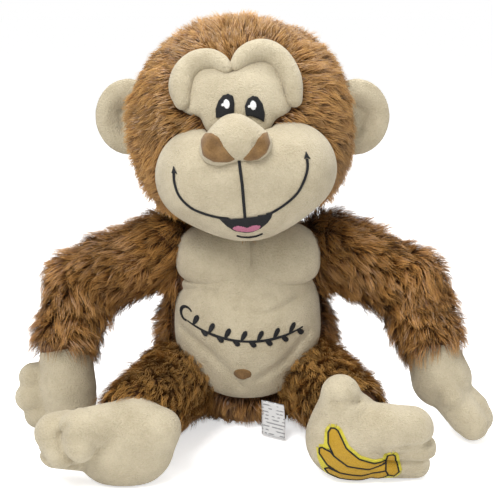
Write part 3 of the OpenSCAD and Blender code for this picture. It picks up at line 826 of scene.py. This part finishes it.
HEAD_PILE, LEG_PILE = 0.72, 0.8       # shorter than the pile of the torso and arms
COATS = {"under": dict(density=0.62, length=10.0, width=0.7, lock=4.5, gather=0.45, lie=0.55, bends=3),
         "over": dict(density=0.55, length=14.5, width=0.55, lock=6.5, gather=0.75, lie=0.85, bends=4)}
for i, (layer, sizes) in enumerate(COATS.items()):
    head_sizes = {**sizes, "length": sizes["length"] * HEAD_PILE, "lie": 0.95, "gather": 0.4, "swirl": 1.5}
    leg_sizes = {**sizes, "length": sizes["length"] * LEG_PILE, "lie": 1.0, "swirl": 1.1}
    place(coat(f"head_fur_{layer}", head, FUR_HEAD, 21 + i, **head_sizes), "head", "brown_fur")
    place(coat(f"torso_fur_{layer}", torso, FUR, 31 + i, **sizes), "torso", "brown_fur")
    place(coat(f"neck_fur_{layer}", neck, FUR, 41 + i, **sizes), "neck_core", "brown_fur")
    for side, j in joints.items():
        sleeve_fur = coat(f"arm_fur_{side}_{layer}", sleeves[side], FUR, 51 + i + 2 * SIDES[side], **sizes)
        bend_at_elbow(sleeve_fur)
        place(coat(f"leg_fur_{side}_{layer}", legs[side], FUR_LEG, 61 + i + 2 * SIDES[side], **leg_sizes),
              f"leg_{side}", "brown_fur")

# %% [markdown]
# Embroidery is satin stitch: threads laid side by side across a shape, each one rising off the fabric
# and diving back at its ends. The script works out where each thread lies by dropping points onto the
# cream fabric, and a Geometry Nodes tree gives every path its round body.

# %% Build the stitch tree
stitching = bpy.data.node_groups.new("satin stitches", "GeometryNodeTree")
gin, gout, STITCH = sockets(stitching, [
    ("Paths", "NodeSocketGeometry", None), ("Thread Radius", "NodeSocketFloat", 0.00035),
    ("Finish", "NodeSocketMaterial", None)], [("Stitches", "NodeSocketGeometry")])
lines = put(stitching, "GeometryNodeMeshToCurve", {0: gin.outputs["Paths"]}).outputs[0]
profile = put(stitching, "GeometryNodeCurvePrimitiveCircle",
              {"Resolution": 5, "Radius": gin.outputs["Thread Radius"]}).outputs[0]
bodies_of = put(stitching, "GeometryNodeCurveToMesh",
                {"Curve": lines, "Profile Curve": profile, "Fill Caps": True})
whole = put(stitching, "GeometryNodeRealizeInstances", {0: bodies_of.outputs[0]}).outputs[0]
whole = put(stitching, "GeometryNodeSetShadeSmooth", {0: whole}).outputs[0]
whole = put(stitching, "GeometryNodeSetMaterial", {0: whole, "Material": gin.outputs["Finish"]}).outputs[0]
stitching.links.new(whole, gout.inputs["Stitches"])


# %% Drop points onto the fabric
class Cloth:
    """The front of some finished pieces, for laying thread on it. Points are given in a local frame."""

    def __init__(self, pieces, to_world, ray):
        verts, faces = [], []
        for obj in pieces:
            base = len(verts)
            verts += [Vector(v) for v in corners(obj)]
            faces += [[base + i for i in f.vertices] for f in obj.data.polygons]
        self.tree, self.to_world = BVHTree.FromPolygons(verts, faces), to_world
        self.ray = Vector(ray)

    def drop(self, x, z, lift):
        start = Vector(self.to_world((x, -160, z)))
        hit, normal, _, _ = self.tree.ray_cast(start, self.ray)
        if hit is None:
            return None
        if normal.dot(self.ray) > 0:
            normal = -normal
        return hit + normal * lift


def lay_thread(name, rows, radius, material, cloth, lift=0.25, bulge=0.5):
    """Each row is the two ends of a stitch, in the cloth's flat frame."""
    verts, edges = [], []
    for (x0, z0), (x1, z1) in rows:
        count = max(3, int(math.hypot(x1 - x0, z1 - z0) / 1.5) + 2)
        line = []
        for t in np.linspace(0, 1, count):
            p = cloth.drop(x0 + (x1 - x0) * t, z0 + (z1 - z0) * t, lift + bulge * (4 * t * (1 - t)) ** 0.5)
            if p is not None:
                line.append(p * MM)
        edges += [(len(verts) + i, len(verts) + i + 1) for i in range(len(line) - 1)]
        verts += line
    mesh = bpy.data.meshes.new(name)
    mesh.from_pydata(verts, edges, [])
    source = bpy.data.objects.new(name + "_paths", mesh)
    obj = run_tree(name, source, stitching, STITCH, {"Thread Radius": radius * MM, "Finish": material})
    bpy.data.objects.remove(source)
    return obj


def fill(outline, pitch=0.5, slope=0.0):
    """Rows of stitches across a closed outline; slope tilts them."""
    pts = np.array(outline, float)
    c, s = math.cos(slope), math.sin(slope)
    turned = pts @ np.array([[c, -s], [s, c]])
    rows = []
    for z in np.arange(turned[:, 1].min() + pitch / 2, turned[:, 1].max(), pitch):
        a, b = turned, np.roll(turned, -1, 0)
        hit = (a[:, 1] <= z) != (b[:, 1] <= z)
        xs = sorted(a[hit, 0] + (z - a[hit, 1]) * (b[hit, 0] - a[hit, 0]) / (b[hit, 1] - a[hit, 1]))
        for x0, x1 in zip(xs[::2], xs[1::2]):
            ends = np.array([[x0, z], [x1, z]]) @ np.array([[c, s], [-s, c]])
            rows.append((tuple(ends[0]), tuple(ends[1])))
    return rows


def rounded_path(path, count=80):
    """A smooth curve through the points of a path."""
    at = np.linspace(0, len(path) - 1, count)
    return list(zip(*[smooth_through(values, at) for values in zip(*path)]))


def stroke(path, width, pitch=0.5):
    """Rows of stitches across a line, as on an embroidered smile. width may change along it."""
    pts = np.array(path, float)
    steps = np.r_[0, np.cumsum(np.hypot(*np.diff(pts, axis=0).T))]
    at = np.arange(0, steps[-1], pitch)
    x, z = np.interp(at, steps, pts[:, 0]), np.interp(at, steps, pts[:, 1])
    dx, dz = np.gradient(x), np.gradient(z)
    size = np.hypot(dx, dz)
    wide = np.interp(at / steps[-1], np.linspace(0, 1, np.size(width)), np.atleast_1d(width)) / 2
    return [((x[i] - dz[i] / size[i] * wide[i], z[i] + dx[i] / size[i] * wide[i]),
             (x[i] + dz[i] / size[i] * wide[i], z[i] - dx[i] / size[i] * wide[i])) for i in range(len(at))]


def arc(cx, cz, rx, rz, start, end, count=24):
    a = np.radians(np.linspace(start, end, count))
    return [(cx + rx * math.cos(t), cz + rz * math.sin(t)) for t in a]


# %% Embroider the face
face = Cloth([muzzle, eye_panel, nose], face_point, (0, 1, 0))
brow_cloth = Cloth([eye_panel], face_point, (0, 1, 0))
THREAD, FINE_THREAD = 0.36, 0.34      # radii of the threads
# Each eye: its place, its outline from there and the place of its glint.
EYES = {
    "right": ((-6.8, 17.2), [(-5.75, -7.5), (-6, -1.9), (-4.1, 3.1), (-1.3, 6.5), (2.1, 7.5), (5, 6.3),
                             (6, 1.9), (5.75, -3.1), (5.3, -5.9), (1.5, -6.1), (-2.3, -6.9)], (1.2, 1.2)),
    "left": ((12.0, 13.0), [(-5.8, -4.1), (-6.4, 1.9), (-4.5, 6.3), (-1.4, 8.1), (1.75, 7.5), (4.9, 3.1),
                            (6.3, -3.1), (5.8, -8.1), (1.8, -5.9), (-2, -4.4)], (-1.3, 2.2))}


def upright(at, x, z):
    """An offset that is level with the floor, from a place on the leaning face."""
    return (at[0] + x * math.cos(LEAN) - z * math.sin(LEAN), at[1] + x * math.sin(LEAN) + z * math.cos(LEAN))


glint_rows = []
for side, (at, outline, glint) in EYES.items():
    eye_rows = fill([upright(at, *q) for q in outline])
    eye = lay_thread(f"eye_stitches_{side}", eye_rows, THREAD, BLACK, brow_cloth, lift=0.5, bulge=1.1)
    place(eye, "head", "black_thread", f"eye_{side}")
    middle = upright(at, *glint)
    glint_rows += fill(arc(*middle, 1.9, 2.7, 0, 360))
    glint_rows += fill(arc(middle[0] - 2.4, middle[1] - 0.3, 0.9, 0.7, 0, 360))
place(lay_thread("glint_stitches", glint_rows, THREAD, WHITE, brow_cloth, lift=1.6, bulge=0.4),
      "head", "white_thread", "eye_glints")
smile = ([(-44.6, -19.3), (-45, -26.3), (-43, -35.4), (-36.6, -44), (-28.6, -49), (-20.3, -52.2),
          (-13.1, -53.7)],
         [(11.6, -53.6), (15.4, -53), (24.6, -48.5), (32.7, -42.4), (38, -34.4), (41, -27.2), (41.5, -21.4)])
smile_rows = [row for path in smile for row in stroke(rounded_path(path), 1.5)]
for barb in ([(-46.2, -20.4), (-44.3, -16.2), (-42.6, -20.6), (-44.4, -19.6)],
             [(39.5, -21), (41.4, -17), (43.6, -21.6), (41.5, -20.4)]):
    smile_rows += fill(barb, 0.4)
place(lay_thread("smile_stitches", smile_rows, FINE_THREAD, BLACK, face),
      "head", "black_thread", "smile_line")
lip_rows = stroke([(-1.6, -15.5), (-1.5, -31), (-2.6, -54)], 1.7)
place(lay_thread("lip_stitches", lip_rows, FINE_THREAD, BLACK, face), "head", "black_thread", "philtrum_line")
mouth = [(-19.7, -52.7), (-13.1, -53.7), (-3.2, -54.2), (6.7, -53.7), (15.6, -53), (14.4, -56.3),
         (11.5, -59.8), (6.8, -63.2), (1.7, -65), (-4.5, -64.9), (-10.5, -63.2), (-15, -59.2)]
place(lay_thread("mouth_stitches", fill(mouth), THREAD, BLACK, face, lift=0.3, bulge=0.5),
      "head", "black_thread", "mouth_patch")
tongue = [(-11.4, -60.8), (-10, -59.4), (-7.3, -59.1), (-4.2, -60.1), (-2, -61.3), (0, -60.4), (3.2, -59.8),
          (6.8, -60.9), (5.3, -63), (1.8, -64), (-3.8, -63.8), (-9.2, -62.6)]
place(lay_thread("tongue_stitches", fill(tongue), THREAD, PINK, face, lift=0.95, bulge=0.2),
      "head", "pink_thread", "tongue_patch")
chin = [(-9.6, -67.5), (-6.7, -69), (-1.9, -70), (3.1, -69.6), (7.6, -68)]
place(lay_thread("chin_stitches", stroke(chin, (0.8, 1.3, 0.8)), FINE_THREAD, BLACK, face),
      "head", "black_thread", "chin_line")


# %% Nostril and navel patches
def overlay(name, field, cover_field, low, high, lift, material, size=1.2):
    """A thin patch of fabric that lies on another form."""
    return skin(name, keep(1.2, grow(cover_field, lift), field), low, high, size, material)


def inside(points):
    """The flat distance outside a closed outline drawn from the front."""
    edge_line = limb([(x, 0, z) for x, z in points + points[:1]], [0] * (len(points) + 1))

    def field(p):
        away = edge_line(p * (1.0, 0.0, 1.0))
        x, z, within = p[..., 0], p[..., 2], np.zeros(p.shape[:-1], bool)
        for (x0, z0), (x1, z1) in zip(points, points[1:] + points[:1]):
            if z0 != z1:
                within ^= ((z0 > z) != (z1 > z)) & (x < x0 + (z - z0) * (x1 - x0) / (z1 - z0))
        return np.where(within, -away, away)
    return field


NOSTRILS = {
    "right": [(-25, -0.9), (-22.8, 2.6), (-16.8, 4), (-12.2, 1.3), (-9.4, -5.5), (-5.8, -11.3), (-3.1, -14.3),
              (-8, -16.2), (-17.7, -14.6), (-24.2, -10)],
    "left": [(18.6, -1), (15.6, -0.1), (12, -2.5), (9, -6.5), (4.8, -10.6), (0.4, -14.8), (3.4, -17),
             (10.6, -16.8), (16.4, -13.2), (19.6, -7.4)]}
for side, outline in NOSTRILS.items():
    piece = overlay(f"nostril_patch_{side}", on_face(inside(outline)), on_face(nose_form),
                    (-42, -114, 196), (34, -64, 240), 0.7, TAN, 1.0)
    place(piece, "head", "tan_plush", f"nostril_{side}")
navel = overlay("navel_button", egg((-3, -62, 51), (7, 14, 5)), belly_form, (-14, -72, 42), (8, -46, 60),
                0.6, TAN, 1.0)
place(navel, "torso", "tan_plush", "navel_patch")

# %% [markdown]
# The belly carries a stitched flourish of plain waves, and the left sole has a bunch of fruit.

# %% Belly flourish and fruit patch
body_cloth = Cloth([belly], lambda p: p, (0, 1, 0))


def sag(x):
    """The line that the flourish hangs on."""
    return 76.5 + 0.0042 * (x - 4) ** 2


def leaf(x, z, length, width, turn):
    a = math.radians(turn)
    t = np.linspace(0, 2 * math.pi, 15)[:-1]
    u, v = length / 2 * (1 - np.cos(t)), width / 2 * np.sin(t) * (1 - 0.35 * np.cos(t))
    c, s = math.cos(a), math.sin(a)
    return [(x + i * c - k * s, z + i * s + k * c) for i, k in zip(u, v)]


stem_line = [(x, sag(x)) for x in np.linspace(-42, 40, 50)]
motif_rows = stroke(stem_line, (0.7, 1.8, 1.2, 1.8, 0.7))
for k, x in enumerate(np.linspace(-38, 36, 14)):
    up = k % 2 == 0
    motif_rows += fill(leaf(x, sag(x), 8.0 if up else 6.0, 3.2, 62 if up else -38), slope=-0.5)
motif_rows += stroke(arc(-43, sag(-42) + 4.6, 4.4, 4.6, -90, -330, 20), (1.2, 2.0, 0.8))
place(lay_thread("belly_stitches", motif_rows, FINE_THREAD, BLACK, body_cloth),
      "torso", "black_thread", "belly_motif")

sole_cloth = Cloth([feet["left"]], lambda p: foot_point("left", p), (0, 1, 0))


bunch = [
    [(-15.5, 4.1), (-13.8, 7.1), (-11.5, 7.3), (-9.6, 6), (-4.5, -4.9), (4.2, -13.6), (14.4, -18),
     (22.1, -17.5),
     (22.1, -19.1), (11, -22.3), (-2.8, -19.1), (-11.7, -11.5), (-15.5, -2.7)],
    [(-20.6, -7.7), (-19, -6.6), (-13.8, -8.8), (-11.7, -11.5), (-2.8, -19.1), (11, -22.3), (22.1, -19.1),
     (22.1, -23.9), (6.8, -27.6), (-7, -25.2), (-15.5, -19.5), (-20.6, -11.5)],
    [(-16.8, -23.2), (-14.5, -21.9), (-7, -25.2), (6.8, -27.6), (22.1, -23.9), (24.2, -27.5), (18.5, -30.6),
     (7.5, -32.6), (-7, -30.6), (-14.5, -26.9)],
    [(22.1, -17.5), (22.9, -11.5), (25.5, -9.8), (27.5, -12), (31, -25.4), (28, -28.5), (24.2, -27.5),
     (22.1, -23.9)]]
edge = ([(-20.6, -7.7), (-17.5, -6.8), (-15.9, -4.6), (-15.5, 4.1), (-13.8, 7.1), (-11.5, 7.3),
         (-9.6, 6), (-4.5, -4.9),
         (4.2, -13.6), (14.4, -18), (22.1, -17.5), (22.9, -11.5), (25.5, -9.8), (27.5, -12), (31, -25.4),
         (28, -28.5), (18.5, -30.6), (7.5, -32.6), (-7, -30.6), (-14.5, -26.9), (-16.8, -23.2),
         (-19.5, -15.7), (-20.6, -7.7)])
place(lay_thread("fruit_border", stroke(edge, 4.6), FINE_THREAD, LEMON, sole_cloth, lift=0.1, bulge=0.35),
      "foot_left", "yellow_thread", "banana_patch")
fruit_rows = [row for f in bunch for row in fill(f, slope=0.5)]
place(lay_thread("fruit_stitches", fruit_rows, FINE_THREAD, GOLD, sole_cloth, lift=0.5, bulge=0.35),
      "foot_left", "yellow_thread")
line_rows = [row for f in bunch for row in stroke(f + f[:1], 0.8)]
place(lay_thread("fruit_outline", line_rows, 0.3, BLACK, sole_cloth, lift=0.95, bulge=0.2),
      "foot_left", "black_thread")

# %% [markdown]
# The care label is a folded satin tape, sewn into the seam beside the left leg, with plain woven bars.

# %% Care label
satin = bpy.data.materials.new("label satin")
satin.use_nodes = True
tree = satin.node_tree
where = put(tree, "ShaderNodeTexCoord").outputs["Object"]
bars = put(tree, "ShaderNodeTexWave", {"Vector": where, "Scale": 125.0, "Distortion": 0.0},
           bands_direction="Z")
gaps = put(tree, "ShaderNodeTexNoise", {"Vector": where, "Scale": 320.0, "Detail": 0.0}).outputs[0]
mask = num(tree, "MULTIPLY", num(tree, "GREATER_THAN", bars.outputs["Fac"], 0.72),
           num(tree, "GREATER_THAN", gaps, 0.46))
tint = put(tree, "ShaderNodeMixRGB",
           {"Fac": mask, "Color1": (0.70, 0.70, 0.70, 1), "Color2": (0.30, 0.30, 0.31, 1)})
tree.links.new(tint.outputs[0], tree.nodes["Principled BSDF"].inputs["Base Color"])
tree.nodes["Principled BSDF"].inputs["Roughness"].default_value = 0.5
across_n, down_n = 9, 13
mesh = bpy.data.meshes.new("label_tape")
verts, faces = [], []
for i in range(down_n):
    for k in range(across_n):
        u, v = k / (across_n - 1), i / (down_n - 1)
        curl = 1.2 * math.sin(v * 2.6) * (0.5 + u)
        x, y, z = 11 + 16 * u + 0.4 * curl, -48.5 - 9 * u - curl - 5 * v * v, 26.5 - 24.5 * v
        verts.append((x * MM, y * MM, z * MM))
for i in range(down_n - 1):
    for k in range(across_n - 1):
        a = i * across_n + k
        faces.append((a, a + across_n, a + across_n + 1, a + 1))
mesh.from_pydata(verts, [], faces)
mesh.shade_smooth()
mesh.materials.append(satin)
label = bpy.data.objects.new("label_tape", mesh)
bpy.context.collection.objects.link(label)
thick_tape = label.modifiers.new("thickness", "SOLIDIFY")
thick_tape.thickness, thick_tape.offset = 0.0005, 0
place(label, "label", "label_satin", "care_label")

# %% [markdown]
# Last, the fabric pieces are put on their bodies in place of the CAD solids that they stand for; the sleeves
# only take the place of their solids.

# %% Put the pieces on their bodies
place(torso, "torso", "brown_fur", "torso_cover", "torso_stuffing", "bean_bag", "seat_panel", fill=0.7)
place(belly, "torso", "cream_plush", "belly_panel", fill=0.7)
place(head, "head", "brown_fur", "head_cover", "head_stuffing", fill=0.9)
place(muzzle, "head", "cream_plush", "muzzle_cover", "muzzle_stuffing", fill=0.9)
place(eye_panel, "head", "cream_plush", "forehead_panel", fill=0.6)
place(nose, "head", "cream_plush", "nose_pad", fill=0.9)
place(neck, "neck_core", "brown_fur", "neck_stuffing", fill=0.7)
for side, j in joints.items():
    place(chest[side], "torso", "cream_plush", f"chest_panel_{side}", fill=0.7)
    place(brows[side], "head", "cream_plush", f"brow_{side}", fill=0.8)
    place(ears[side], f"ear_{side}", "cream_plush", f"ear_{side}", fill=0.4)
    sleeve = place(sleeves[side], None, "brown_fur", f"upper_sleeve_{side}", f"upper_stuffing_{side}",
                   f"forearm_sleeve_{side}", f"forearm_stuffing_{side}", fill=0.8)
    bend_at_elbow(sleeve)
    place(hands[side], f"hand_{side}", "cream_plush", f"hand_{side}", f"hand_stuffing_{side}", fill=0.7)
    place(legs[side], f"leg_{side}", "brown_fur", f"leg_sleeve_{side}", f"leg_stuffing_{side}", fill=0.8)
    place(feet[side], f"foot_{side}", "cream_plush", f"foot_{side}", f"foot_stuffing_{side}", fill=0.8)
for name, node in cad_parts.items():
    if not node.hide_render:
        print("CAD node kept with its own finish:", name)
        node.data.materials.clear()
        node.data.materials.append(SEAM)

# %% Floor
floor_mat = bpy.data.materials.new("studio floor")
floor_mat.use_nodes = True
tree = floor_mat.node_tree
paint = tree.nodes["Principled BSDF"].inputs
PALE = 0.95
paint["Base Color"].default_value = (PALE, PALE, PALE, 1)
paint["Roughness"].default_value = 0.9
paint["Emission Color"].default_value = (1, 1, 1, 1)
# The camera sees the floor as bright as the room behind it.
seen = put(tree, "ShaderNodeLightPath").outputs["Is Camera Ray"]
tree.links.new(num(tree, "MULTIPLY", seen, SEEN - PALE * GLOW), paint["Emission Strength"])
floor_mesh = bpy.data.meshes.new("floor")
REACH = 60
floor_mesh.from_pydata([(x * REACH, y * REACH, 0) for x, y in ((-1, -1), (1, -1), (1, 1), (-1, 1))],
                       [], [(0, 1, 2, 3)])
floor_mesh.materials.append(floor_mat)
floor = bpy.data.objects.new("floor", floor_mesh)
bpy.context.collection.objects.link(floor)
